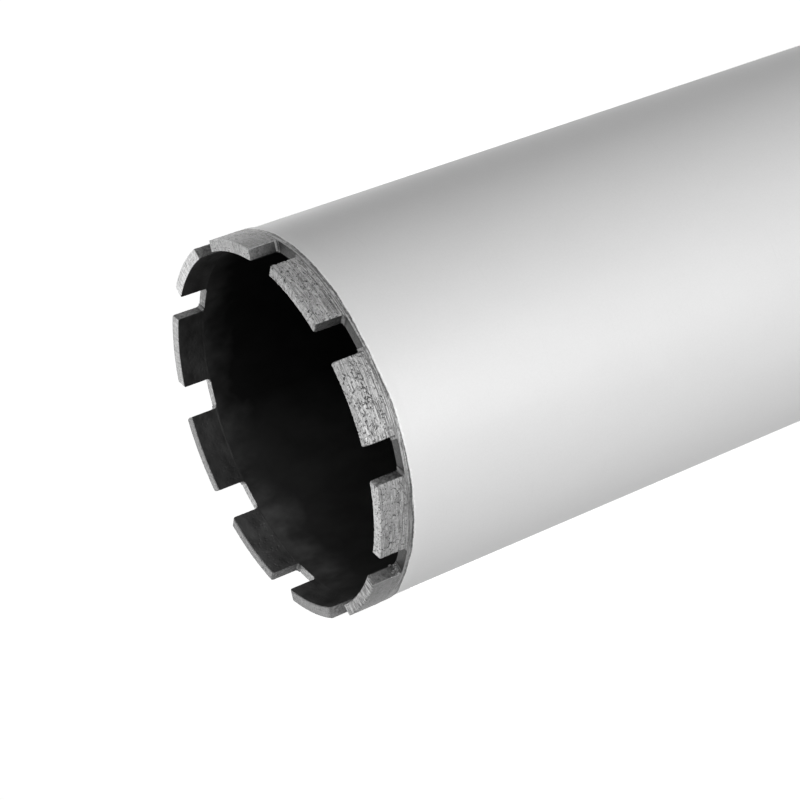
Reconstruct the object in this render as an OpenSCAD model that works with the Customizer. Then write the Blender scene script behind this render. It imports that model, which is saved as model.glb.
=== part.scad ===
// Diamond core bit for drilling reinforced concrete with water.
// A steel tube, the barrel, carries a ring of sintered diamond segments brazed to its open end.
// A turned end plate and a threaded hub are welded into the other end, and water comes in
// through the hub's bore. The bit stands on the seating face of its hub, with the crown up.
// The origin is the centre of that face, and +Z runs along the axis towards the crown.

/* [Crown] */
// Diameter over the segments, which is the hole that the bit drills
bit_d = 114; // [80:1:200]
// Number of segments, evenly spaced round the crown
segment_count = 10; // [6:1:10]
// Length of a segment between its parallel ends
segment_l = 24; // [14:0.5:26]
// Thickness of a segment, which is the width of the cut
segment_t = 3.5; // [3.2:0.1:5]
// Height of a segment, from its root to its tip face
segment_h = 9; // [6:0.5:15]
// Radius of the two tip corners of a segment, seen from outside
segment_corner_r = 0.8; // [0.3:0.1:2]
// Radius of the tip edges along a segment
segment_edge_r = 0.3; // [0.1:0.1:1]
// Thickness of the braze film under a segment
braze_t = 0.2; // [0.1:0.05:0.5]
// Size of the braze fillet at each end of a segment
braze_fillet = 1; // [0.5:0.1:2]

/* [Barrel] */
// Length of the tube, from the end plate to the slot floors
barrel_l = 355; // [150:5:450]
// Wall thickness of the tube
barrel_wall = 3; // [2:0.1:3]
// How far the segments stand outside the raised land that carries them
land_step = 0.1; // [0:0.05:0.2]
// Length of the raised land at the crown end of the tube
land_l = 3.5; // [1:0.5:8]
// Length of the taper from the land down to the tube
land_taper_l = 2; // [1:0.5:5]

/* [End plate] */
// Thickness of the plate outside the tube
plate_t = 8; // [5:0.5:14]
// Length of the turned step that centres the plate in the tube
plate_step_l = 4; // [2:0.5:8]
// Chamfer round the plate's outer corner
plate_chamfer = 1.5; // [0.5:0.1:3]
// Radial clearance of the turned steps in their holes
slip = 0.1; // [0.05:0.05:0.3]

/* [Hub] */
// Width of the hexagon across its flats
hub_af = 46; // [41:1:60]
// Length of the hexagon
hex_l = 22; // [15:1:35]
// Length of the round neck between the hexagon and the plate
neck_l = 8; // [7:1:15]
// How much narrower the neck is than the hexagon's flats, on each side
neck_step = 0.5; // [0.2:0.1:2]
// Diameter of the turned step that centres the hub in the plate
hub_step_d = 40; // [35:1:44]
// Width of the turned chamfer from the seating face to the hexagon's flats
face_chamfer = 0.5; // [0.2:0.1:2]
// Slope of the turned chamfers on the hexagon, in degrees
hex_chamfer_slope = 30; // [20:1:45]
// Bore of the female thread at its crests, for 1 1/4 inch with 7 threads to the inch
thread_minor_d = 28.2; // [24:0.1:30]
// Diameter of the countersink at the mouth of the thread
mouth_d = 33; // [31:0.5:38]
// Chamfer at the inner end of the thread
thread_end_chamfer = 1; // [0.5:0.1:2]

/* [Welds] */
// Depth of the bevels that the barrel weld fills
groove = 2; // [1:0.1:2]
// Height of the barrel weld above the tube
barrel_weld_crown = 0.3; // [0.1:0.05:0.4]
// Leg of the fillet weld round the hub's neck
hub_weld_leg = 5; // [3:0.5:6]
// Bulge of that fillet weld
hub_weld_crown = 0.6; // [0.2:0.1:1]

/* [Hidden] */
$fn = 96;
// Overrun of a cutting shape past the face that it cuts
past = 1;

// Radii
crown_r = bit_d / 2;
bore_r = crown_r - segment_t;
barrel_r = bore_r + barrel_wall;
land_r = crown_r - land_step;
plate_step_r = bore_r - slip;
hub_step_r = hub_step_d / 2;
plate_hole_r = hub_step_r + slip;
neck_r = hub_af / 2 - neck_step;
face_r = hub_af / 2 - face_chamfer;
hex_corner_r = hub_af / 2 / cos(30);
thread_r = thread_minor_d / 2;
mouth_r = mouth_d / 2;

// Heights above the seating face of the hub
plate_z = hex_l + neck_l;
seat_z = plate_z + plate_t;
inner_z = seat_z + plate_step_l;
floor_z = seat_z + barrel_l;
root_z = floor_z + braze_t;
tip_z = root_z + segment_h;

// Number of a segment with two digits, as in its node's name
function two_digits(i) = str(i < 10 ? "0" : "", i);
function segment_name(i) = str("segment_", two_digits(i));
function braze_name(i) = str("braze_", two_digits(i));
function segment_angle(i) = (i - 1) * 360 / segment_count;

segments = [1 : segment_count];

// Tube with a raised land at the crown end and a weld bevel at the other
module barrel() {
    color("silver")
        rotate_extrude()
            polygon([
                [bore_r, seat_z],
                [barrel_r - groove, seat_z],
                [barrel_r, seat_z + groove],
                [barrel_r, floor_z - land_l - land_taper_l],
                [land_r, floor_z - land_l],
                [land_r, floor_z],
                [bore_r, floor_z]
            ]);
}

// Disc that closes the tube, with a step that centres it in the tube and a hole for the hub
module end_plate() {
    color("silver")
        rotate_extrude()
            polygon([
                [plate_hole_r, plate_z],
                [barrel_r - plate_chamfer, plate_z],
                [barrel_r, plate_z + plate_chamfer],
                [barrel_r, seat_z - groove],
                [barrel_r - groove, seat_z],
                [plate_step_r, seat_z],
                [plate_step_r, inner_z - plate_chamfer],
                [plate_step_r - plate_chamfer, inner_z],
                [plate_hole_r, inner_z]
            ]);
}

// Disc of a radius that gives an arc with the rise over the chord
module weld_face(half_chord, rise) {
    face_radius = (half_chord ^ 2 + rise ^ 2) / (2 * rise);
    translate([rise - face_radius, 0]) circle(face_radius);
}

// Weld that fills the groove between the tube and the end plate
module barrel_weld() {
    color("silver")
        rotate_extrude()
            intersection() {
                polygon([
                    [barrel_r - groove, seat_z],
                    [barrel_r + groove, seat_z + 2 * groove],
                    [barrel_r + groove, seat_z - 2 * groove]
                ]);
                translate([barrel_r, seat_z]) weld_face(groove, barrel_weld_crown);
            }
}

// Turned hexagon with its corners chamfered at both ends
module hub_hexagon() {
    corner_drop = (hex_corner_r - face_r) * tan(hex_chamfer_slope);
    intersection() {
        cylinder(r = hex_corner_r, h = hex_l, $fn = 6);
        rotate_extrude()
            polygon([
                [0, 0],
                [face_r, 0],
                [hex_corner_r, corner_drop],
                [hex_corner_r, hex_l - corner_drop],
                [face_r, hex_l],
                [0, hex_l]
            ]);
    }
}

// Hub with the female thread's bore, the countersink at its mouth and the step into the plate
module hub() {
    mouth_h = mouth_r - thread_r;
    color("gray")
        difference() {
            union() {
                hub_hexagon();
                cylinder(r = neck_r, h = plate_z);
                cylinder(r = hub_step_r, h = inner_z);
            }
            translate([0, 0, -past]) cylinder(r = thread_r, h = inner_z + 2 * past);
            translate([0, 0, -past])
                cylinder(r1 = mouth_r + past, r2 = thread_r, h = mouth_h + past);
            translate([0, 0, inner_z - thread_end_chamfer])
                cylinder(r1 = thread_r, r2 = thread_r + thread_end_chamfer + past,
                         h = thread_end_chamfer + past);
        }
}

// Fillet weld in the corner between the hub's neck and the end plate
module hub_weld() {
    color("silver")
        rotate_extrude()
            intersection() {
                translate([neck_r, plate_z - hub_weld_leg]) square(hub_weld_leg);
                translate([neck_r + hub_weld_leg / 2, plate_z - hub_weld_leg / 2])
                    rotate(-45) weld_face(hub_weld_leg / sqrt(2), hub_weld_crown);
            }
}

// Rectangle standing on its root, with its two upper corners rounded
module tip_rounded(width, height, radius) {
    square([width, height - radius]);
    translate([radius, 0]) square([width - 2 * radius, height]);
    for (x = [radius, width - radius]) translate([x, height - radius]) circle(radius);
}

// Turns an outline drawn across and up into a bar that runs out along +X
module radial_bar() {
    rotate([90, 0, 90]) linear_extrude(crown_r + past) children();
}

// Slice of the crown ring with parallel ends and rounded tip edges and corners
module segment(i) {
    color("dimgray")
        rotate([0, 0, segment_angle(i)])
            intersection() {
                rotate_extrude()
                    translate([bore_r, root_z]) tip_rounded(segment_t, segment_h, segment_edge_r);
                radial_bar()
                    translate([-segment_l / 2, root_z])
                        tip_rounded(segment_l, segment_h, segment_corner_r);
            }
}

// Braze film under a segment, with a hollow fillet up each of its ends
module braze(i) {
    fillet_z = root_z + braze_fillet;
    color("tan")
        rotate([0, 0, segment_angle(i)])
            intersection() {
                rotate_extrude()
                    translate([bore_r, floor_z]) square([land_r - bore_r, fillet_z - floor_z]);
                radial_bar() {
                    translate([-segment_l / 2 - braze_fillet, floor_z])
                        square([segment_l + 2 * braze_fillet, braze_t]);
                    for (side = [-1, 1])
                        difference() {
                            translate([side * (segment_l + braze_fillet) / 2, root_z + braze_fillet / 2])
                                square(braze_fillet, center = true);
                            translate([side * (segment_l / 2 + braze_fillet), fillet_z])
                                circle(braze_fillet);
                        }
                }
            }
}

barrel();
end_plate();
barrel_weld();
hub();
hub_weld();
for (i = segments) segment(i);
for (i = segments) braze(i);
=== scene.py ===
import math
import random

import bmesh
import bpy
from mathutils import Matrix, Vector


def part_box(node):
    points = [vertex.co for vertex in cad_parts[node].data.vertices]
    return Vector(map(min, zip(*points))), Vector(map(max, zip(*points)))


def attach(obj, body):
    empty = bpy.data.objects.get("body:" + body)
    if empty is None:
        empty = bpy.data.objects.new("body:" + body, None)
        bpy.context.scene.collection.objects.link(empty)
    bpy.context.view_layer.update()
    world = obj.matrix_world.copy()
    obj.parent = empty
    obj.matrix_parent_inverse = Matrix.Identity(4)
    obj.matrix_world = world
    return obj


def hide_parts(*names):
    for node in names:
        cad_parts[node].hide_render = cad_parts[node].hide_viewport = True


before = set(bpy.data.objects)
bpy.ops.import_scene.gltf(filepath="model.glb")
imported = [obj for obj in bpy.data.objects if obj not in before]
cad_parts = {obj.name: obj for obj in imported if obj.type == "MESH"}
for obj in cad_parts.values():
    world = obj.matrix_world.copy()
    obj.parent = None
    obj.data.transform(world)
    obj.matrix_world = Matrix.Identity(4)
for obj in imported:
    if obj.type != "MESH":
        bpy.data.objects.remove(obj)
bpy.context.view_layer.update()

# Barrel
# A steel tube. At the crown end its outside is left a little proud as a land, ground bare where
# the segments are brazed on. The rest of the outside is sprayed with satin silver paint, and the
# inside keeps the dark scale of the mill, with painted shade darker still deep in it.
MM = 0.001
seat_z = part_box("barrel")[0].z
floor_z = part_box("barrel")[1].z
land_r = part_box("barrel")[1].x
barrel_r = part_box("end_plate")[1].x
crown_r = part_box("segment_01")[1].x
segment_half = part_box("segment_01")[1].y
bore_r = math.hypot(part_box("segment_01")[0].x, segment_half)
land_length = 3.5 * MM
taper_length = 2 * MM
land_z = floor_z - land_length
taper_z = land_z - taper_length
weld_groove = 2 * MM
rim_round = 0.15 * MM
tube_steps = 240
plane_gap = 0.001 * MM
merge_gap = 0.002 * MM
band_width = 1.65 * MM
band_lean = 3.2 * MM
wide_side = 60
narrow_side = -128
band_shade_side = 160
dusty_side = 80
steel_tone = 0.28
paint_tone = 0.79
paint_rough = 0.44
paint_metal = 0.05
paint_thick = 0.08 * MM


def section(name, inner_r, outer_r, low_z, high_z):
    """Adds a rectangle in the XZ plane, the section of a turned piece, and opens it to edit."""
    bpy.ops.object.select_all(action="DESELECT")
    bpy.ops.mesh.primitive_plane_add(
        size=1,
        location=((inner_r + outer_r) / 2, 0, (low_z + high_z) / 2),
        rotation=(math.pi / 2, 0, 0),
    )
    piece = bpy.context.object
    piece.name = name
    piece.scale = (outer_r - inner_r, high_z - low_z, 1)
    bpy.ops.object.transform_apply(location=True, rotation=True, scale=True)
    bpy.ops.object.mode_set(mode="EDIT")
    return piece


def pick(test, kind="VERT"):
    """Selects in edit mode the vertices, edges or faces whose middle passes the test."""
    bpy.ops.mesh.select_mode(type=kind)
    bpy.ops.mesh.select_all(action="DESELECT")
    shape = bmesh.from_edit_mesh(bpy.context.object.data)
    for part in {"VERT": shape.verts, "EDGE": shape.edges, "FACE": shape.faces}[kind]:
        corners = [part] if kind == "VERT" else part.verts
        middle = sum((corner.co for corner in corners), Vector()) / len(corners)
        part.select_set(test(middle))
    shape.select_flush_mode()
    bmesh.update_edit_mesh(bpy.context.object.data)


def cut(point, normal, **options):
    """Bisects the whole shape in edit mode."""
    bpy.ops.mesh.select_mode(type="VERT")
    bpy.ops.mesh.select_all(action="SELECT")
    bpy.ops.mesh.bisect(plane_co=point, plane_no=normal, threshold=plane_gap, **options)


def corner(test, leg, steps=1):
    """Cuts or rounds the corners of a section that pass the test."""
    pick(test)
    bpy.ops.mesh.bevel(offset=leg, segments=steps, affect="VERTICES")


def merge():
    """Joins doubled vertices and turns every face outwards."""
    bpy.ops.mesh.select_mode(type="VERT")
    bpy.ops.mesh.select_all(action="SELECT")
    bpy.ops.mesh.remove_doubles(threshold=merge_gap)
    bpy.ops.mesh.normals_make_consistent(inside=False)


def clean_section():
    """Dissolves the lines inside a section, which leaves its outline as one face."""
    bpy.ops.mesh.select_all(action="SELECT")
    bpy.ops.mesh.dissolve_limited(angle_limit=math.radians(1))


def spin(steps, turn=math.tau):
    """Spins a section's outline about the axis of the bit."""
    clean_section()
    bpy.ops.mesh.select_all(action="SELECT")
    bpy.ops.mesh.delete(type="ONLY_FACE")
    bpy.ops.mesh.select_all(action="SELECT")
    bpy.ops.mesh.spin(steps=steps, angle=turn, center=(0, 0, 0), axis=(0, 0, 1))
    merge()


def activate(piece):
    """Makes this piece the active one and the only one selected."""
    bpy.ops.object.select_all(action="DESELECT")
    piece.select_set(True)
    bpy.context.view_layer.objects.active = piece


def soften(piece, angle=40):
    """Leaves edit mode and shades the piece smooth up to this angle, with the large faces flat."""
    bpy.ops.object.mode_set(mode="OBJECT")
    activate(piece)
    bpy.ops.object.shade_smooth_by_angle(angle=math.radians(angle))
    weigh = piece.modifiers.new("weigh", "WEIGHTED_NORMAL")
    weigh.keep_sharp = True
    bpy.ops.object.modifier_apply(modifier=weigh.name)


def fit(piece, node, material):
    """Puts a finished piece in the place of its CAD node."""
    piece.data.materials.clear()
    piece.data.materials.append(material)
    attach(piece, "root")
    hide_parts(node)


class Wire:
    """An output of a shader node. Arithmetic adds Math nodes, and node() adds any other kind."""

    def __init__(self, tree, socket=None):
        self.tree = tree
        self.socket = socket

    def node(self, kind, settings, sockets, output=0):
        made = self.tree.nodes.new("ShaderNode" + kind)
        for name, value in settings.items():
            setattr(made, name, value)
        for name, value in sockets.items():
            if isinstance(value, Wire):
                self.tree.links.new(value.socket, made.inputs[name])
            else:
                made.inputs[name].default_value = value
        return Wire(self.tree, made.outputs[output])

    def math(self, operation, *terms, clamp=False):
        settings = {"operation": operation, "use_clamp": clamp}
        return self.node("Math", settings, dict(enumerate((self, *terms))))

    def __add__(self, other):
        return self.math("ADD", other)

    def __sub__(self, other):
        return self.math("SUBTRACT", other)

    def __mul__(self, other):
        return self.math("MULTIPLY", other)

    def __truediv__(self, other):
        return self.math("DIVIDE", other)

    def __pow__(self, other):
        return self.math("POWER", other)

    def __rsub__(self, other):
        return self.node("Math", {"operation": "SUBTRACT"}, {0: other, 1: self})

    __radd__ = __add__
    __rmul__ = __mul__

    def at_least(self, level):
        return self.math("MAXIMUM", level)

    def above(self, level, width):
        """1 where the value is above the level, 0 below it, and a ramp of this width between."""
        return ((self - level) / width).math("ADD", 0.5, clamp=True)

    def mix(self, low, high):
        """Goes from low to high as this value goes from 0 to 1."""
        return self * (high - low) + low


def start(name):
    """A new material: itself, its principled shader, and a wire to start from."""
    material = bpy.data.materials.new(name)
    material.use_nodes = True
    tree = material.node_tree
    return material, tree.nodes["Principled BSDF"], Wire(tree)


def place_on_bit(wire):
    """Object coordinates in millimetres: a vector, its x, y and z, and the radius from the axis."""
    point = wire.node("TexCoord", {}, {}, "Object")
    point = wire.node("VectorMath", {"operation": "SCALE"}, {0: point, "Scale": 1 / MM})
    x, y, z = (wire.node("SeparateXYZ", {}, {0: point}, axis) for axis in "XYZ")
    return point, x, y, z, (x * x + y * y) ** 0.5


def toward(x, y, radius, turn):
    """1 on the side of the bit at this azimuth in degrees, 0 across from the side and -1 behind."""
    turn = math.radians(turn)
    return (x * math.cos(turn) + y * math.sin(turn)) / radius


def inner_shade_and_dust(x, y, radius):
    """Inner faces at the bore's mouth, dark as painted shade, paler where dust has dried."""
    return toward(x, y, radius, dusty_side).above(0.92, 0.14).mix(0.055, 0.14)


def noise(wire, point, stretch, detail=3.0, rough=0.55):
    """Fractal noise about 0.5, with features about 1 / stretch millimetres long on each axis."""
    vector = wire.node("VectorMath", {"operation": "MULTIPLY"}, {0: point, 1: stretch})
    sockets = {"Vector": vector, "Scale": 1.0, "Detail": detail, "Roughness": rough}
    return wire.node("TexNoise", {}, sockets)


def streaks(wire, x, y, along, detail=3.0, rough=0.55):
    """Noise at this point, already stretched on each axis, for marks that follow the turning."""
    vector = wire.node("CombineXYZ", {}, {0: x, 1: y, 2: along})
    return noise(wire, vector, (1, 1, 1), detail, rough)


def grinding(wire, x, y, z, radius):
    """Fine lines along the arc, the same ones on the segments and on the tube below them."""
    return streaks(wire, x * 0.09, y * 0.09, (z + radius) * 2.6, 5.0, 0.75)


def dress(shader, wire, level, rough, metal, height):
    """Links a neutral colour, roughness, metal, and a bump from a height in millimetres."""
    link = wire.tree.links.new
    colour = wire.node("CombineColor", {}, {0: level, 1: level, 2: level})
    link(colour.socket, shader.inputs["Base Color"])
    for value, name in ((rough, "Roughness"), (metal, "Metallic")):
        if isinstance(value, Wire):
            link(value.socket, shader.inputs[name])
        else:
            shader.inputs[name].default_value = value
    bump = wire.node("Bump", {}, {"Height": height, "Strength": 1.0, "Distance": MM})
    link(bump.socket, shader.inputs["Normal"])


def paint_look(wire, point):
    """Colour, roughness and height of sprayed silver paint with fine metal flake."""
    flake = noise(wire, point, (6.0, 6.0, 6.0), 2.0)
    cloud = noise(wire, point, (0.035, 0.035, 0.02))
    scuff = noise(wire, point, (0.05, 0.05, 3.0), 3.0, 0.6).above(0.68, 0.06)
    grain = noise(wire, point, (1.6, 1.6, 1.6), 2.0)
    mottled = (cloud - 0.5) * 0.05 + (flake - 0.5) * 0.05 + (grain - 0.5) * 0.04
    level = paint_tone + mottled - scuff * 0.02
    rough = paint_rough + (cloud - 0.5) * 0.08 + scuff * 0.05
    return level, rough, flake * 0.003


def barrel_finish():
    """Silver paint outside, a ground band of bare steel below the slots, and the dark bore."""
    material, shader, wire = start("silver_paint_over_steel_tube")
    point, x, y, z, radius = place_on_bit(wire)

    # Width of the ground band below the slot floors, wider on the side that the wheel leaned to
    wide_and_lit = toward(x, y, radius, wide_side).above(0.14, 0.3)
    narrow = toward(x, y, radius, narrow_side).at_least(0)
    wander = noise(wire, point, (0.08, 0.08, 0.0), 2.0) - 0.5
    ragged = noise(wire, point, (0.9, 0.9, 0.9), 4.0) - 0.5
    width = band_width / MM + wide_and_lit * (band_lean / MM) - narrow**40 * 0.6
    width = width + wander * 1.2 + ragged * 0.6
    outside = radius.above(bore_r / MM + 0.25, 0.1)
    into_paint = floor_z / MM - z - width
    painted = into_paint.above(0, 0.3) * outside

    # The paint, paler where the band begins: partly a torn burr, partly a painted highlight
    smooth, paint_gloss, paint_bumps = paint_look(wire, point)
    burr_highlight = into_paint.above(0, 0.2) * (1 - into_paint.above(0.5, 0.3))
    paint_level = smooth + burr_highlight * (ragged * 0.7 + 0.06)

    # The band is ground with the segments, so its lines are theirs, deepest by the paint
    lines = grinding(wire, x, y, z, radius)
    mottle = noise(wire, point, (1.1, 1.1, 1.1), 4.0, 0.7)
    by_paint = into_paint.above(-0.7, 0.8)
    score = (noise(wire, point, (0.14, 0.14, 3.2), 3.0, 0.6) + by_paint * 0.14).above(0.6, 0.05)
    slot_floor = z.above(floor_z / MM - 0.1, 0.05)
    chips = by_paint * (mottle - 0.5) * 3.0
    # Painted shade: the ground band is made darker on one side of the bit
    band_shade = toward(x, y, radius, band_shade_side).above(0.9, 0.2)
    worked = 1 + (lines - 0.5) * 3.4 + (mottle - 0.5) * 1.2 + chips
    band_level = steel_tone * worked * (1 - score * 0.7) * (1 - band_shade * 0.3)
    # Painted light on the slot floors of the wide side, painted shade on those of the other side
    lit_slot_level = wide_and_lit.mix(0.045, 0.5) * (1 + (mottle - 0.5) * 3.0)
    steel_level = slot_floor.mix(band_level, lit_slot_level).at_least(0.03)

    # The bore is dark with mill scale and, deep in, darker still as painted shade.
    # It is paler round its mouth and where dust has settled
    scale = noise(wire, point, (0.15, 0.15, 0.1), 4.0)
    dust = noise(wire, point, (0.07, 0.07, 0.07), 3.0).above(0.5, 0.35)
    settled = (y / radius).above(0.7, 0.6)
    mouth = (z + (dust - 0.5) * 8 + settled * 6).above(floor_z / MM - 3, 9)
    blotches = (scale - 0.5) * mouth.mix(0.6, 2.2)
    shaded_bore_level = mouth.mix(0.012 + settled * 0.06, inner_shade_and_dust(x, y, radius)) * (1 + blotches)

    level = outside.mix(shaded_bore_level, painted.mix(steel_level, paint_level))
    steel_rough = slot_floor.mix(0.48 + (lines - 0.5) * 0.25, 0.6)
    rough = outside.mix(0.5 + scale * 0.1, painted.mix(steel_rough, paint_gloss))
    steel_metal = slot_floor.mix(0.4, wide_and_lit.mix(0.05, 0.4))
    metal = outside.mix(1.0, painted.mix(steel_metal, paint_metal))
    ground = lines * 0.06 - score * 0.04 + slot_floor * mottle * 0.12
    height = painted.mix(ground * outside + scale * 0.02, paint_bumps + paint_thick / MM)
    dress(shader, wire, level, rough, metal, height)
    return material


barrel = section("barrel_tube", bore_r, barrel_r, seat_z, floor_z)
wall_middle = (bore_r + barrel_r) / 2
cut((0, 0, taper_z), (0, 0, 1))
cut((0, 0, land_z), (0, 0, 1))
pick(lambda p: p.x > wall_middle and p.z > land_z - rim_round)
bpy.ops.transform.translate(value=(land_r - barrel_r, 0, 0))
clean_section()
corner(lambda p: p.x > wall_middle and p.z < seat_z + rim_round, weld_groove)
corner(lambda p: p.x > wall_middle and p.z > floor_z - rim_round, rim_round, 2)
spin(tube_steps)
soften(barrel)
fit(barrel, "barrel", barrel_finish())

# End plate
# A turned steel disc with a step that centres it in the tube. It is painted with the tube, and
# its inner side, which only the drilling water reaches, is as dark as the bore.
plate_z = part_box("end_plate")[0].z
inner_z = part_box("end_plate")[1].z
step_slip = 0.1 * MM
plate_hole_r = 20.1 * MM
plate_step_r = bore_r - step_slip
plate_chamfer = 1.5 * MM
edge_break = 0.2 * MM


def paint_finish():
    """Silver paint over the turned steel, and the dark inner side that only water reaches."""
    material, shader, wire = start("silver_paint_over_turned_steel")
    point, x, y, z, radius = place_on_bit(wire)
    level, rough, height = paint_look(wire, point)
    turning = noise(wire, point, (0.04, 0.04, 2.5), 3.0)
    grime = noise(wire, point, (0.12, 0.12, 0.12), 5.0, 0.65).above(0.6, 0.2)
    inside = z.above(seat_z / MM + 0.3, 0.1)
    level = inside.mix(level - grime * 0.06, 0.015)
    rough = rough + grime * 0.1
    dress(shader, wire, level, rough, inside.mix(paint_metal, 1.0), height + turning * 0.05)
    return material


plate = section("end_plate_disc", plate_hole_r, barrel_r, plate_z, seat_z)
cut((plate_step_r, 0, 0), (1, 0, 0))
pick(lambda p: p.x < plate_step_r and p.z > seat_z - edge_break, "EDGE")
bpy.ops.mesh.extrude_region_move(TRANSFORM_OT_translate={"value": (0, 0, inner_z - seat_z)})
clean_section()
corner(lambda p: p.x > plate_step_r + edge_break and p.z < seat_z - edge_break, plate_chamfer)
corner(lambda p: p.x > plate_step_r + edge_break and p.z > seat_z - edge_break, weld_groove)
corner(lambda p: p.x > plate_step_r - edge_break and p.z > inner_z - edge_break, plate_chamfer)
corner(lambda p: p.z < seat_z - weld_groove - edge_break, edge_break, 2)
spin(tube_steps)
soften(plate)
fit(plate, "end_plate", paint_finish())

# Barrel weld
# One bead of weld all round fills the groove between the tube and the end plate. It is laid while
# the bit turns, so it shows close, even ripples, and it is painted over.
bead_crown = 0.3 * MM
bead_points = 128
bead_steps = 480
bead_ripples = 230


def weld_finish(ripples, middle_z):
    """Paint over a bead about this height, with so many radians of ripple to a radian of turn."""
    material, shader, wire = start("silver_paint_over_weld")
    point, x, y, z, radius = place_on_bit(wire)
    level, rough, height = paint_look(wire, point)
    bow = (z - middle_z / MM) * 1.2
    uneven = noise(wire, point, (0.5, 0.5, 0.5), 3.0) * 3
    ripple = (y.math("ARCTAN2", x) * ripples - bow * bow + uneven).math("SINE")
    lump = noise(wire, point, (0.3, 0.3, 0.3), 3.0)
    level = level - ripple.at_least(0) * 0.08
    dress(shader, wire, level, rough + 0.05, paint_metal, height + ripple * 0.06 + lump * 0.3)
    return material


def bead(name, middle_x, middle_z, chord, crown, turned):
    """Adds the round section of a weld bead, its chord through the middle and turned in degrees."""
    radius = ((chord / 2) ** 2 + crown**2) / (2 * crown)
    back = radius - crown
    turned = math.radians(turned)
    bpy.ops.object.select_all(action="DESELECT")
    bpy.ops.mesh.primitive_circle_add(
        vertices=bead_points,
        radius=radius,
        fill_type="NGON",
        location=(middle_x - back * math.cos(turned), 0, middle_z - back * math.sin(turned)),
        rotation=(math.pi / 2, 0, 0),
    )
    piece = bpy.context.object
    piece.name = name
    bpy.ops.object.transform_apply(location=True, rotation=True, scale=True)
    bpy.ops.object.mode_set(mode="EDIT")
    return piece


barrel_weld = bead("barrel_weld_bead", barrel_r, seat_z, 2 * weld_groove, bead_crown, 0)
apex = (barrel_r - weld_groove, 0, seat_z)
cut(apex, (-1, 0, 1), clear_outer=True)
cut(apex, (-1, 0, -1), clear_outer=True)
spin(bead_steps)
soften(barrel_weld)
fit(barrel_weld, "barrel_weld", weld_finish(bead_ripples, seat_z))

# Hub
# Turned from a steel bar with its bore, step and thread, then milled to a hexagon for the wrench.
# It stays bare, and the 1 1/4 inch thread has 7 turns to the inch.
hub_top_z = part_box("hub")[1].z
hub_corner_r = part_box("hub")[1].x
hub_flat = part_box("hub")[1].y
hex_top_z = 22 * MM
hub_sides = 6
neck_r = hub_flat - 0.5 * MM
face_r = neck_r
face_slope = math.radians(30)
hub_step_r = plate_hole_r - step_slip
hub_steps = 192
thread_r = 14.1 * MM
thread_root_r = 15.875 * MM
thread_pitch = 25.4 * MM / 7
thread_flank = math.radians(30)
root_flat = thread_pitch / 8
thread_turns = 16
turns_below = 2
turn_steps = 64
thread_start = 2.4 * MM
thread_end = 1 * MM
past_thread_r = thread_r + 2 * MM


def turned_finish():
    """Bare steel, turned in rings and milled flat on the hexagon, with stains of oil."""
    material, shader, wire = start("turned_steel")
    point, x, y, z, radius = place_on_bit(wire)
    on_hexagon = z.above(0.15, 0.1) * (1 - z.above(hex_top_z / MM - 0.15, 0.1))
    flat = radius.above(neck_r / MM + 0.3, 0.2) * on_hexagon
    rings = streaks(wire, x * 0.02, y * 0.02, (z + radius) * 4.0)
    milled = noise(wire, point, (0.2, 0.2, 5.0), 3.0, 0.6)
    marks = flat.mix(rings, milled)
    stain = noise(wire, point, (0.12, 0.12, 0.12), 5.0, 0.65)
    knock = noise(wire, point, (0.4, 0.4, 0.4), 2.0).above(0.74, 0.05)
    oil = stain.above(0.55, 0.25)
    level = 0.32 + (marks - 0.5) * 0.3 - oil * 0.05
    rough = 0.36 + (marks - 0.5) * 0.2 + oil * 0.06
    dress(shader, wire, level, rough, 1.0, marks * 0.04 - knock * 0.05)
    return material


hub = section("hub_nut", thread_r, hub_corner_r, 0, hex_top_z)
cut((neck_r, 0, 0), (1, 0, 0))
cut((hub_step_r, 0, 0), (1, 0, 0))
pick(lambda p: p.x < neck_r and p.z > hex_top_z - edge_break, "EDGE")
bpy.ops.mesh.extrude_region_move(TRANSFORM_OT_translate={"value": (0, 0, plate_z - hex_top_z)})
pick(lambda p: p.x < hub_step_r and p.z > plate_z - edge_break, "EDGE")
bpy.ops.mesh.extrude_region_move(TRANSFORM_OT_translate={"value": (0, 0, hub_top_z - plate_z)})
clean_section()
cut((face_r, 0, 0), (math.sin(face_slope), 0, -math.cos(face_slope)), clear_outer=True)
pick(lambda p: p.x > neck_r + edge_break and p.z > hex_top_z - edge_break)
bpy.ops.transform.translate(value=(0, 0, (face_r - hub_corner_r) * math.tan(face_slope)))
clean_section()
corner(lambda p: p.x < thread_r + edge_break and p.z < edge_break, thread_start)
corner(lambda p: p.x < thread_r + edge_break and p.z > hub_top_z - edge_break, thread_end)
corner(
    lambda p: p.x > past_thread_r and not edge_break < p.z < plate_z - edge_break,
    edge_break,
    2,
)
spin(hub_steps)
for side in range(hub_sides):
    turn = (side + 0.5) * math.tau / hub_sides
    out = Vector((math.cos(turn), math.sin(turn), 0))
    cut(out * hub_flat, out, clear_outer=True, use_fill=True)
merge()
bpy.ops.object.mode_set(mode="OBJECT")

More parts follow.
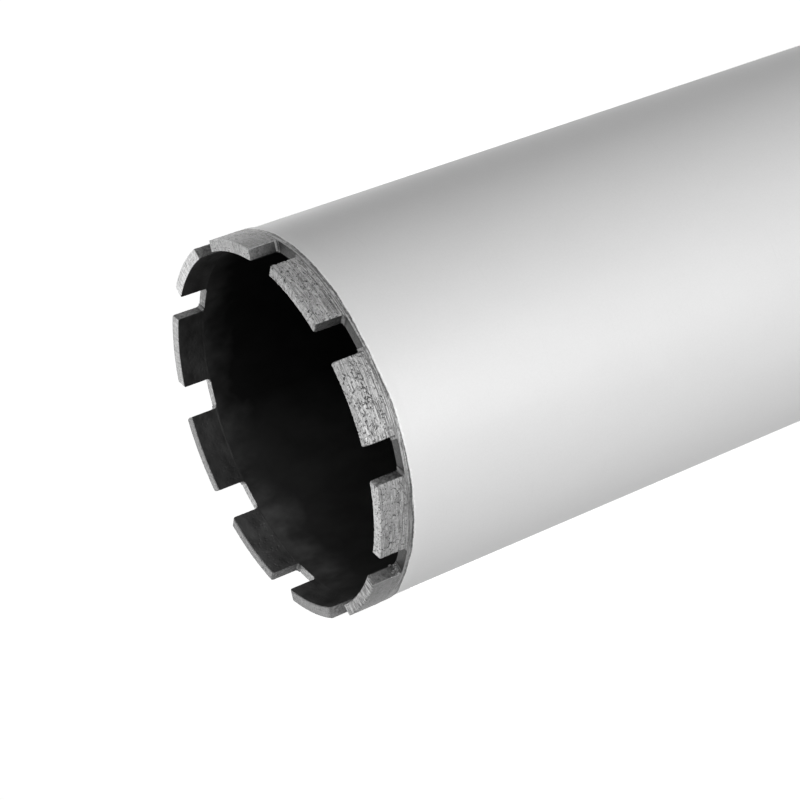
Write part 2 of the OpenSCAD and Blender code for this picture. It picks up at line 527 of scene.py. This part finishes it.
# The thread is cut with a groove that winds up past both ends of the hub
cutter_spare = 0.4 * MM
cutter_r = thread_r - cutter_spare
root_half = root_flat / 2
mouth_half = root_half + (thread_root_r - cutter_r) * math.tan(thread_flank)
cutter = section("thread_cutter", cutter_r, thread_root_r, -mouth_half, mouth_half)
pick(lambda p: p.x > thread_r)
narrowed = (1, 1, root_half / mouth_half)
bpy.ops.transform.resize(value=narrowed, center_override=(thread_root_r, 0, 0))
bpy.ops.mesh.select_all(action="SELECT")
bpy.ops.transform.translate(value=(0, 0, -turns_below * thread_pitch))
bpy.ops.object.mode_set(mode="OBJECT")
helix = cutter.modifiers.new("helix", "SCREW")
helix.axis = "Z"
helix.angle = math.tau
helix.screw_offset = thread_pitch
helix.iterations = thread_turns
helix.steps = helix.render_steps = turn_steps
bpy.ops.object.modifier_apply(modifier=helix.name)
bpy.ops.object.mode_set(mode="EDIT")
bpy.ops.mesh.select_all(action="SELECT")
bpy.ops.mesh.fill_holes(sides=0)
merge()
bpy.ops.object.mode_set(mode="OBJECT")
activate(hub)
thread = hub.modifiers.new("thread", "BOOLEAN")
thread.operation = "DIFFERENCE"
thread.solver = "EXACT"
thread.object = cutter
bpy.ops.object.modifier_apply(modifier=thread.name)
bpy.data.objects.remove(cutter)
soften(hub, 30)
fit(hub, "hub", turned_finish())

# Hub weld
# A fillet weld, laid all round in the corner between the hub's neck and the end plate. Its ripples
# are coarser than those of the barrel's weld, and it is painted with the plate.
fillet_leg = 5 * MM
fillet_crown = 0.6 * MM
fillet_ripples = 110
fillet_chord = fillet_leg * math.sqrt(2)
fillet_r = neck_r + fillet_leg / 2
fillet_z = plate_z - fillet_leg / 2
hub_weld = bead("hub_weld_bead", fillet_r, fillet_z, fillet_chord, fillet_crown, -45)
cut((neck_r, 0, 0), (-1, 0, 0), clear_outer=True)
cut((0, 0, plate_z), (0, 0, 1), clear_outer=True)
spin(bead_steps)
soften(hub_weld)
fit(hub_weld, "hub_weld", weld_finish(fillet_ripples, fillet_z))

# Segments
# Slices of ring pressed and sintered from metal powder with diamond grit, then ground along the
# arc. Their ends are parallel, and their ground faces show pits where grit has torn out, dark
# partly as painted shade.
root_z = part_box("segment_01")[0].z
tip_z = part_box("segment_01")[1].z
segment_count = 10
corner_round = 0.8 * MM
corner_steps = 5
edge_round = 0.25 * MM
edge_reach = 0.4 * MM
held_height = 0.3 * MM
half_turn = math.radians(14.5)
half_steps = 48
voxel = 0.17 * MM
root_spare = 1 * MM
most_pitted = (6, 7, 8)
tones = (0.3, 0.29, 0.31, 0.28, 0.17, 0.3, 0.33, 0.34, 0.23, 0.28)
# Tip levels, partly the finish of each segment and partly painted highlight
highlighted_tip_tones = (0.55, 0.27, 0.2, 0.19, 0.3, 0.57, 0.46, 0.44, 0.46, 0.81)
# Each segment's end level: partly its own tone, partly painted shade for where its ends face
shaded_end_tones = (1.9, 1.6, 1.4, 1.2, 0.65, 1.5, 1.0, 0.3, 0.6, 1.1)
lines_shown = (0.9, 0.7, 0.8, 1.0, 0.3, 0.8, 1.0, 1.0, 0.35, 0.8)
strokes_shown = (0.6, 0.5, 0.4, 0.8, 1.5, 0.5, 0.5, 0.9, 0.7, 0.8)
uneven_depth = 0.05 * MM
crumb_depth = 0.06 * MM
crumb_more = 0.1 * MM
hole_depth = 0.04 * MM
hole_more = 0.26 * MM
hole_start = 0.1 * MM
hole_dark = 0.08 * MM


def segment_finish():
    """The sintered bond: ground tip and outside, painted shade on ends and inside, dust inside."""
    material, shader, wire = start("sintered_diamond_bond")
    point, x, y, z, radius = place_on_bit(wire)
    tone, highlighted_tip_tone, shaded_end_tone, lined, stroked, pitted, torn_hole_shade = (
        wire.node("Attribute", {"attribute_name": name}, {}, "Fac")
        for name in ("tone", "highlighted_tip_tone", "shaded_end_tone", "lined", "stroked", "pitted", "torn_hole_shade")
    )

    # Which face of the slice: ground outside, ground tip, and the pressed inside and ends
    outer = radius.above(crown_r / MM - 0.3, 0.2)
    # Near the top, the ends and inside take the tip's level: a worn edge, partly painted highlight
    tip = z.above(tip_z / MM - 0.3, 0.2)
    inner = (1 - radius.above(bore_r / MM + 0.25, 0.2)) * (1 - tip)
    ground = outer.at_least(tip)

    # Grinding lines run along the arc outside and across it on the tip
    flow = z + radius
    lines = grinding(wire, x, y, z, radius)
    strokes = streaks(wire, x / radius * 90, y / radius * 90, radius * 0.3, 4.0, 0.7)
    gashes = streaks(wire, x / radius * 54, y / radius * 54, radius * 0.3)
    worn = (stroked - 0.7).at_least(0) * 2.2
    tip_marks = (strokes - 0.5) * stroked + (gashes - 0.5) * worn + (lines - 0.5) * 0.5
    marks = tip.mix((lines - 0.5) * lined, tip_marks) + 0.5
    mottle = noise(wire, point, (1.1, 1.1, 1.1), 4.0, 0.7)

    # Pits left by torn grit, dark partly as painted shade, with painted highlights on their rims,
    # deep scratches near the root, and painted glints where grit still stands
    patch = noise(wire, point, (0.16, 0.16, 0.3), 2.0)
    low = 1 - z.above(root_z / MM + 2.5, 3.0)
    dashes = streaks(wire, x, y, flow * 1.8, 3.0, 0.65)
    dashes = dashes + (patch - 0.5) * 0.3 + pitted * 0.07 - low * 0.03
    pits = dashes.above(0.675, 0.04)
    pit_rim_highlight = dashes.above(0.63, 0.04) - pits
    scratch = noise(wire, point, (0.14, 0.14, 3.2), 3.0, 0.6)
    gouges = (scratch + low * 0.07 + pitted * 0.04).above(0.66, 0.05) * (1 - tip)
    nicks = streaks(wire, x * 0.35, y * 0.35, flow * 2.2, 2.0, 0.6) + (patch - 0.5) * 0.1
    cuts = nicks.above(0.62, 0.05) * lined * (1 - tip)
    scrapes = (1 - nicks).above(0.63, 0.05) * lined * (1 - tip)
    # Painted glints: pale, smoother specks for grit catching the light
    glint = noise(wire, point, (2.4, 2.4, 2.4), 1.0).above(0.74, 0.03)

    # The ground faces; the ends, dark partly as pressed skin and partly as painted shade, and
    # darker towards the root; and the inside, painted shade with dust
    bright = tip.mix(tone, highlighted_tip_tone)
    shine = lines.above(0.66, 0.08) * (1 - tip) * lined * 0.3
    cloudy = (mottle - 0.5) * (1.6 - lined * 0.8) + (patch - 0.5) * 0.4
    texture = 1 + (marks - 0.5) * (2.6 + low * 1.4) + cloudy + pit_rim_highlight * 0.2 + shine + scrapes * 0.45
    dark = (pits * 0.85).at_least(gouges * 0.6).at_least(torn_hole_shade * 0.9).at_least(cuts * 0.5)
    ground_level = bright * texture * (1 - dark) + glint * 0.35
    # The ends are darker towards the root
    darker_to_root = 1 - z.above(root_z / MM + 5, 8)
    crust = noise(wire, point, (1.2, 1.2, 1.2), 4.0, 0.75)
    crusted = 1 + (crust - 0.5) * 4.5 + (patch - 0.5) * 0.8
    end_level = darker_to_root.mix(0.17, 0.035) * shaded_end_tone * crusted
    inner_level = inner_shade_and_dust(x, y, radius) * (1 + (patch - 0.5) * 1.6)
    level = inner.mix(ground.mix(end_level, ground_level), inner_level).at_least(0.01)
    rough = ground.mix(0.55, 0.48 + (marks - 0.5) * 0.25 + pits * 0.2 - glint * 0.25)
    cut_height = marks * 0.08 - pits * 0.08 - gouges * 0.05 - cuts * 0.05 + mottle * 0.03
    height = inner.mix(ground.mix(crust * 0.12, cut_height), patch * 0.03)
    dress(shader, wire, level, rough, inner.mix(ground * 0.4, 1.0), height)
    return material


def spin_half():
    """Spins the section of a segment through the half of its length that lies on the +Y side."""
    spin(half_steps, half_turn)
    bpy.ops.transform.mirror(constraint_axis=(False, True, False), center_override=(0, 0, 0))


def add_other_half(piece):
    """Mirrors a half onto the -Y side and joins the two."""
    bpy.ops.object.mode_set(mode="OBJECT")
    other_half = piece.modifiers.new("other_half", "MIRROR")
    other_half.use_axis = (False, True, False)
    other_half.merge_threshold = merge_gap
    bpy.ops.object.modifier_apply(modifier=other_half.name)
    bpy.ops.object.mode_set(mode="EDIT")
    merge()


def add_group(piece, name, test):
    """Puts the vertices that pass the test into a group, in edit mode."""
    pick(test)
    piece.vertex_groups.new(name=name)
    bpy.context.tool_settings.vertex_group_weight = 1.0
    bpy.ops.object.vertex_group_assign()


def near_edge(p):
    """True within reach of an edge, where two faces of the slice are both near."""
    radius = math.hypot(p.x, p.y)
    faces = (crown_r - radius, radius - bore_r, tip_z - p.z, segment_half - abs(p.y))
    return sorted(faces)[1] < edge_reach


pattern = section("segment_pattern", bore_r, crown_r, root_z - root_spare, tip_z)
corner(lambda p: p.z > tip_z - edge_round, edge_round, 3)
spin_half()
middle = Vector((0, segment_half - corner_round, tip_z - corner_round))
for step in range(corner_steps):
    lean = math.radians(90 / corner_steps * step)
    across = Vector((0, math.cos(lean), math.sin(lean)))
    cut(middle + across * corner_round, across, clear_outer=True, use_fill=True)
add_other_half(pattern)
bpy.ops.object.mode_set(mode="OBJECT")
fine = pattern.modifiers.new("fine", "REMESH")
fine.mode = "VOXEL"
fine.voxel_size = voxel
bpy.ops.object.modifier_apply(modifier=fine.name)
bpy.ops.object.mode_set(mode="EDIT")
add_group(pattern, "edges", near_edge)
add_group(pattern, "free", lambda p: p.z > root_z + held_height)
bpy.ops.object.mode_set(mode="OBJECT")
rub = pattern.modifiers.new("rub", "SMOOTH")
rub.factor = 0.5
rub.iterations = 2
rub.vertex_group = "edges"
bpy.ops.object.modifier_apply(modifier=rub.name)
bpy.ops.object.mode_set(mode="EDIT")
cut((0, 0, root_z), (0, 0, 1), clear_inner=True, use_fill=True)
bpy.ops.object.mode_set(mode="OBJECT")


def clouds(name, size, contrast, intensity):
    """A cloud texture for displacement, held between 0 and 1."""
    made = bpy.data.textures.new(name, "CLOUDS")
    made.noise_scale = size
    made.noise_depth = 2
    made.contrast = contrast
    made.intensity = intensity
    made.use_clamp = True
    return made


def displace(piece, texture, distance, middle, group):
    """Moves a group of vertices along their normals, by this distance times texture less middle."""
    bumps = piece.modifiers.new("bumps", "DISPLACE")
    bumps.texture = texture
    bumps.texture_coords = "LOCAL"
    bumps.strength = distance
    bumps.mid_level = middle
    bumps.vertex_group = group
    bpy.ops.object.modifier_apply(modifier=bumps.name)


def copy_of(pattern, name):
    """A copy of a pattern with a mesh of its own."""
    piece = pattern.copy()
    piece.data = pattern.data.copy()
    piece.name = name
    bpy.context.collection.objects.link(piece)
    activate(piece)
    return piece


def turn_to(piece, number):
    """Turns the mesh of a piece from the first place on the crown to this one."""
    piece.data.transform(Matrix.Rotation((number - 1) * math.tau / segment_count, 4, "Z"))


# The pressed faces are a little uneven, the edges have crumbled in places, and grit has torn out
uneven = clouds("uneven", 2.5 * MM, 1.0, 1.0)
crumbs = clouds("crumbs", 0.8 * MM, 4.0, 0.2)
holes = clouds("holes", 0.62 * MM, 4.6, 0.0)
sintered = segment_finish()
chance = random.Random(4)
for number in range(1, segment_count + 1):
    segment = copy_of(pattern, f"diamond_segment_{number:02d}")
    turn_to(segment, number)
    pitted = chance.uniform(0.7, 1.0) if number in most_pitted else chance.uniform(0.0, 0.5)
    whole = [v.co.copy() for v in segment.data.vertices]
    displace(segment, uneven, -uneven_depth, 0.0, "free")
    displace(segment, crumbs, -(crumb_depth + crumb_more * pitted), 0.0, "edges")
    displace(segment, holes, -(hole_depth + hole_more * pitted), 0.0, "free")
    depths = [(v.co - before).length for v, before in zip(segment.data.vertices, whole)]
    everywhere = {
        "tone": tones[number - 1],
        "highlighted_tip_tone": highlighted_tip_tones[number - 1],
        "shaded_end_tone": shaded_end_tones[number - 1],
        "lined": lines_shown[number - 1],
        "stroked": strokes_shown[number - 1],
        "pitted": pitted,
    }
    marks = {name: [value] * len(depths) for name, value in everywhere.items()}
    # Painted shade: the colour is darkened where the holes go deepest
    marks["torn_hole_shade"] = [min(max((depth - hole_start) / hole_dark, 0), 1) for depth in depths]
    for name, values in marks.items():
        mark = segment.data.attributes.new(name, "FLOAT", "POINT")
        mark.data.foreach_set("value", values)
    soften(segment, 50)
    fit(segment, f"segment_{number:02d}", sintered)
bpy.data.objects.remove(pattern)

# Brazes
# The film of braze that holds each segment, with the hollow fillets that it draws up the ends.
# One segment was fed too much, and the spare braze stands in a rough heap at its root.
braze_reach = 1 * MM
braze_fillet = 0.6 * MM
braze_steps = 8
film_step = 0.4 * MM
film_lines = 11
near_line = 0.003 * MM
off_line = 0.01 * MM
off_corner = 0.05 * MM
off_edge = 0.1 * MM
drop_height = 0.3 * MM
overfed = 5
heap_stretch = 6
heap_height = 0.9 * MM


def braze_finish():
    """Braze with burnt flux on it, dark and crusted where heaped, with painted glints and shade."""
    material, shader, wire = start("braze_metal")
    point, x, y, z, radius = place_on_bit(wire)
    run = noise(wire, point, (1.2, 1.2, 1.2), 3.0)
    flux = noise(wire, point, (0.6, 0.6, 0.6), 4.0, 0.65).above(0.58, 0.15)
    crust = noise(wire, point, (1.9, 1.9, 1.9), 4.0, 0.75)
    # Painted glints: pale specks in the crust
    glint_speck = crust.above(0.62, 0.05)
    heap = z.above(root_z / MM + 1.0, 0.6)
    inside = 1 - radius.above(bore_r / MM + 0.3, 0.2)
    clean = 0.24 + (run - 0.5) * 0.4 - flux * 0.14
    crusted = 0.09 * (1 + (crust - 0.5) * 5) + glint_speck * 0.35
    outer_level = heap.at_least(flux * 0.6).mix(clean, crusted)
    level = inside.mix(outer_level, inner_shade_and_dust(x, y, radius)).at_least(0.02)
    rough = 0.45 + flux * 0.15 - glint_speck * 0.2
    height = (run + crust) * inside.mix(0.1, 0.02)
    dress(shader, wire, level, rough, inside.mix(0.5, 1.0), height)
    return material


def on_fillet(p):
    """True on the raised hollow of either fillet, away from its edges."""
    radius = math.hypot(p.x, p.y)
    raised = abs(p.y) > segment_half + off_corner and p.z > root_z + off_line
    return raised and bore_r + off_edge < radius < land_r - off_edge


def on_heap(p):
    """True on the one fillet that takes the heap."""
    return p.y > 0 and on_fillet(p)


film_half = segment_half + braze_reach
film = section("braze_pattern", bore_r, land_r, floor_z, root_z)
spin_half()
cut((0, film_half, 0), (0, 1, 0), clear_outer=True, use_fill=True)
cut((0, segment_half - off_line, 0), (0, 1, 0))
reaches = [1 - step / braze_steps for step in range(braze_steps)]
for reach in reaches:
    cut((0, segment_half + braze_fillet * (1 - reach), 0), (0, 1, 0))
for reach in reaches:
    line_y = segment_half + braze_fillet * (1 - reach)
    pick(lambda p: abs(p.y - line_y) < near_line and p.z > root_z - off_corner)
    bpy.ops.transform.translate(value=(0, 0, braze_fillet * (1 - math.sqrt(1 - reach**2))))
inner_x = math.sqrt(bore_r**2 - film_half**2)
for step in range(1, film_lines + 1):
    cut((inner_x + step * film_step, 0, 0), (1, 0, 0))
add_other_half(film)
add_group(film, "fillets", on_fillet)
bpy.ops.object.mode_set(mode="OBJECT")
drops = clouds("drops", 1.6 * MM, 2.0, 1.0)
lumps = clouds("lumps", 0.9 * MM, 3.0, 1.0)
brazed = braze_finish()
for number in range(1, segment_count + 1):
    braze = copy_of(film, f"braze_fillet_{number:02d}")
    texture, height = drops, drop_height
    if number == overfed:
        texture, height = lumps, heap_height
        bpy.ops.object.mode_set(mode="EDIT")
        pick(on_heap)
        bpy.ops.transform.resize(value=(1, 1, heap_stretch), center_override=(0, 0, root_z))
        pick(on_heap, "FACE")
        bpy.ops.mesh.subdivide(number_cuts=2)
        bpy.ops.object.mode_set(mode="OBJECT")
    turn_to(braze, number)
    displace(braze, texture, height, 0.4, "fillets")
    soften(braze, 60)
    fit(braze, f"braze_{number:02d}", brazed)
bpy.data.objects.remove(film)

# Camera
# It looks down past the crown, 27 degrees below the level, and is rolled so that the barrel runs
# off to the right.
camera_data = bpy.data.cameras.new("camera")
camera_data.sensor_width = 36
camera_data.lens = 106.62
camera_data.clip_start = 0.01
camera = bpy.data.objects.new("camera", camera_data)
bpy.context.collection.objects.link(camera)
right = Vector((-0.5546, 0.02941, -0.8316))
down = Vector((-0.43459, 0.84201, 0.31962))
look = Vector((0.70961, 0.53866, -0.4542))
stand = Vector((-0.4955, -0.37003, 0.67524))
turned = Matrix((right, -down, -look)).transposed().to_4x4()
camera.matrix_world = Matrix.Translation(stand) @ turned
bpy.context.scene.camera = camera

# Floor
# Pale and matt, just below the bit. To the camera and in reflections it glows to white, and it
# keeps the bit's shadow.
floor_size = 8
floor_gap = 0.1 * MM
floor_colour = (0.8, 0.8, 0.8, 1)
white = (1, 1, 1, 1)
glow_near = 0.68
glow_far = 1.0
bpy.ops.object.select_all(action="DESELECT")
bpy.ops.mesh.primitive_plane_add(size=floor_size, location=(0, 0, -floor_gap))
floor = bpy.context.object
floor.name = "floor"


def seen(wire):
    """1 for the rays that show the background: to the camera, mirrored, or through glass."""
    straight = wire.node("LightPath", {}, {}, "Is Camera Ray")
    mirrored = wire.node("LightPath", {}, {}, "Is Glossy Ray")
    through = wire.node("LightPath", {}, {}, "Is Transmission Ray")
    return straight.at_least(mirrored).at_least(through)


material = bpy.data.materials.new("pale_floor")
material.use_nodes = True
tree = material.node_tree
tree.nodes.clear()
wire = Wire(tree)
plain = wire.node("BsdfDiffuse", {}, {"Color": floor_colour})
place = wire.node("TexCoord", {}, {}, "Object")
away = wire.node("VectorMath", {"operation": "LENGTH"}, {0: place}, "Value").above(0.28, 0.36)
near = wire.node("Emission", {}, {"Color": white, "Strength": glow_near})
far = wire.node("Emission", {}, {"Color": white, "Strength": glow_far})
glow = wire.node("MixShader", {}, {0: away, 1: near, 2: far})
lifted = wire.node("AddShader", {}, {0: plain, 1: glow})
above = wire.node("MixShader", {}, {0: seen(wire), 1: plain, 2: lifted})
under = wire.node("NewGeometry", {}, {}, "Backfacing")
clear = wire.node("BsdfTransparent", {}, {})
result = wire.node("MixShader", {}, {0: under, 1: above, 2: clear})
output = tree.nodes.new("ShaderNodeOutputMaterial")
tree.links.new(result.socket, output.inputs["Surface"])
floor.data.materials.append(material)

# Light
# The room is white only where it is seen. Four tall soft strips stand round the bit, the two key
# ones on the camera's side, and a small soft lamp hangs above.
strip_distance = 0.8
strip_width = 0.25
strip_height = 1.0
world = bpy.data.worlds.new("studio")
bpy.context.scene.world = world
world.use_nodes = True
wire = Wire(world.node_tree)
back = world.node_tree.nodes["Background"]
back.inputs["Color"].default_value = white
world.node_tree.links.new(seen(wire).socket, back.inputs["Strength"])


def lamp(name, width, power):
    """A square area lamp, width in metres and power in watts."""
    made = bpy.data.objects.new(name, bpy.data.lights.new(name, "AREA"))
    made.data.size = width
    made.data.energy = power
    bpy.context.collection.objects.link(made)
    return made


def strip(name, turn, power):
    """A tall soft box that stands at this azimuth in degrees and faces the bit."""
    made = lamp(name, strip_width, power)
    made.data.shape = "RECTANGLE"
    made.data.size_y = strip_height
    turn = math.radians(turn)
    out = Vector((math.cos(turn), math.sin(turn), 0))
    made.location = out * strip_distance + Vector((0, 0, strip_height / 2))
    made.rotation_euler = (math.radians(90), 0, turn + math.radians(90))


strip("key_left", -165, 3.55)
strip("key_right", -141, 2.5)
strip("rim", 0, 1.6)
strip("back", 45, 1.3)
overhead = lamp("overhead", 0.5, 1.2)
overhead.location = (0.3, 0.22, 1.2)
aim = Vector((0, 0, floor_z)) - overhead.location
overhead.rotation_euler = aim.to_track_quat("-Z", "Y").to_euler()

bpy.context.scene.view_settings.view_transform = "Standard"
